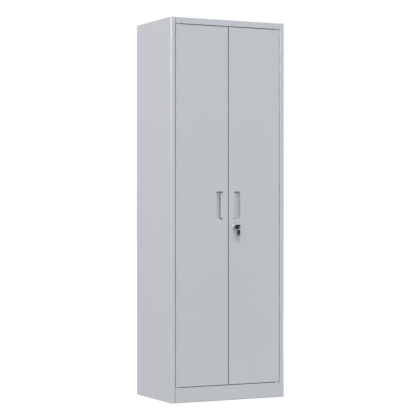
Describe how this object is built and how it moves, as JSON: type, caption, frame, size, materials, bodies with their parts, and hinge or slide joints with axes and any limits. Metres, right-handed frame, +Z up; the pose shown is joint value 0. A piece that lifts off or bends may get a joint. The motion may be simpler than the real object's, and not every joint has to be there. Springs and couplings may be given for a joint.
{
  "type": "metal storage cabinet",
  "caption": "Tall two-door storage cabinet of folded sheet steel with recessed pulls, adjustable shelves and a rod lock with a folding key.",
  "frame": {"origin": "on the floor, under the middle of the box round the whole object at rest, with the key that stands in front of the doors; the carcass's own middle is 11.95 mm behind it", "axes": "+Z up, -Y out of the doors towards the user, +X to the user's right as they face the doors"},
  "size_m": [0.6, 0.424, 1.8],
  "materials": {
    "painted_sheet": "light grey powder coat, satin",
    "zinc_steel": "zinc plated",
    "lock_chrome": "bright chrome",
    "key_nickel": "nickel plated",
    "key_plastic": "black, smooth",
    "nylon": "natural nylon",
    "magnet_case": "black"
  },
  "bodies": {
    "carcass": {"left_side_panel": "painted_sheet", "right_side_panel": "painted_sheet", "back_panel": "painted_sheet", "top_panel": "painted_sheet", "plinth": "painted_sheet", "bottom_panel": "painted_sheet", "left_front_shelf_rail": "painted_sheet", "left_rear_shelf_rail": "painted_sheet", "right_front_shelf_rail": "painted_sheet", "right_rear_shelf_rail": "painted_sheet", "shelf_1": "painted_sheet", "shelf_2": "painted_sheet", "shelf_3": "painted_sheet", "shelf_4": "painted_sheet", "shelf_1_clip_left_front": "zinc_steel", "shelf_1_clip_left_rear": "zinc_steel", "shelf_1_clip_right_front": "zinc_steel", "shelf_1_clip_right_rear": "zinc_steel", "shelf_2_clip_left_front": "zinc_steel", "shelf_2_clip_left_rear": "zinc_steel", "shelf_2_clip_right_front": "zinc_steel", "shelf_2_clip_right_rear": "zinc_steel", "shelf_3_clip_left_front": "zinc_steel", "shelf_3_clip_left_rear": "zinc_steel", "shelf_3_clip_right_front": "zinc_steel", "shelf_3_clip_right_rear": "zinc_steel", "shelf_4_clip_left_front": "zinc_steel", "shelf_4_clip_left_rear": "zinc_steel", "shelf_4_clip_right_front": "zinc_steel", "shelf_4_clip_right_rear": "zinc_steel", "left_lower_hinge_pin": "zinc_steel", "left_upper_hinge_pin": "zinc_steel", "right_lower_hinge_pin": "zinc_steel", "right_upper_hinge_pin": "zinc_steel", "magnetic_catch": "magnet_case"},
    "left_door": {"left_door_panel": "painted_sheet", "left_pull_cup": "painted_sheet", "left_door_stiffener": "painted_sheet", "catch_strike_plate": "zinc_steel", "left_lower_hinge_bush": "nylon", "left_upper_hinge_bush": "nylon"},
    "right_door": {"right_door_panel": "painted_sheet", "right_pull_cup": "painted_sheet", "right_door_stiffener": "painted_sheet", "right_lower_hinge_bush": "nylon", "right_upper_hinge_bush": "nylon", "lock_barrel": "lock_chrome", "lock_nut": "zinc_steel", "upper_rod_guide": "zinc_steel", "lower_rod_guide": "zinc_steel"},
    "lock_core": {"lock_plug": "lock_chrome", "lock_cam": "zinc_steel", "key_blade": "key_nickel"},
    "upper_rod": {"upper_lock_rod": "zinc_steel"},
    "lower_rod": {"lower_lock_rod": "zinc_steel"},
    "folding_bow": {"key_bow": "key_plastic"},
    "ring": {"key_ring": "key_nickel"},
    "spare_key": {"spare_key_bow": "key_plastic", "spare_key_blade": "key_nickel"}
  },
  "joints": [
    {"name": "left_door_hinge", "type": "hinge", "parent": "carcass", "child": "left_door", "pos_m": [-0.2627, -0.18105, 0.92], "axis": [0, 0, -1], "range_deg": [0, 110]},
    {"name": "right_door_hinge", "type": "hinge", "parent": "carcass", "child": "right_door", "pos_m": [0.2627, -0.18105, 0.92], "axis": [0, 0, 1], "range_deg": [0, 110]},
    {"name": "lock_turn", "type": "hinge", "parent": "right_door", "child": "lock_core", "pos_m": [0.027, -0.18805, 0.82], "axis": [0, 1, 0], "range_deg": [0, 90]},
    {"name": "upper_rod_slide", "type": "slide", "parent": "right_door", "child": "upper_rod", "axis": [0, 0, 1], "range_m": [0, 0.01414]},
    {"name": "lower_rod_slide", "type": "slide", "parent": "right_door", "child": "lower_rod", "axis": [0, 0, -1], "range_m": [0, 0.01414]},
    {"name": "key_bow_fold", "type": "hinge", "parent": "lock_core", "child": "folding_bow", "pos_m": [0.027, -0.20205, 0.82], "axis": [0, 0, -1], "range_deg": [0, 90]},
    {"name": "key_ring_swing", "type": "hinge", "parent": "folding_bow", "child": "ring", "pos_m": [0.048, -0.20205, 0.81817], "axis": [0, -1, 0], "range_deg": [-25, 25]},
    {"name": "spare_key_swing", "type": "hinge", "parent": "ring", "child": "spare_key", "pos_m": [0.048, -0.20205, 0.80017], "axis": [0, -1, 0], "range_deg": [-25, 25]}
  ],
  "couplings": [
    {"joint": "lock_turn", "follows": "upper_rod_slide", "rad_per_m": 111.11},
    {"joint": "lower_rod_slide", "follows": "upper_rod_slide", "ratio": 1}
  ]
}
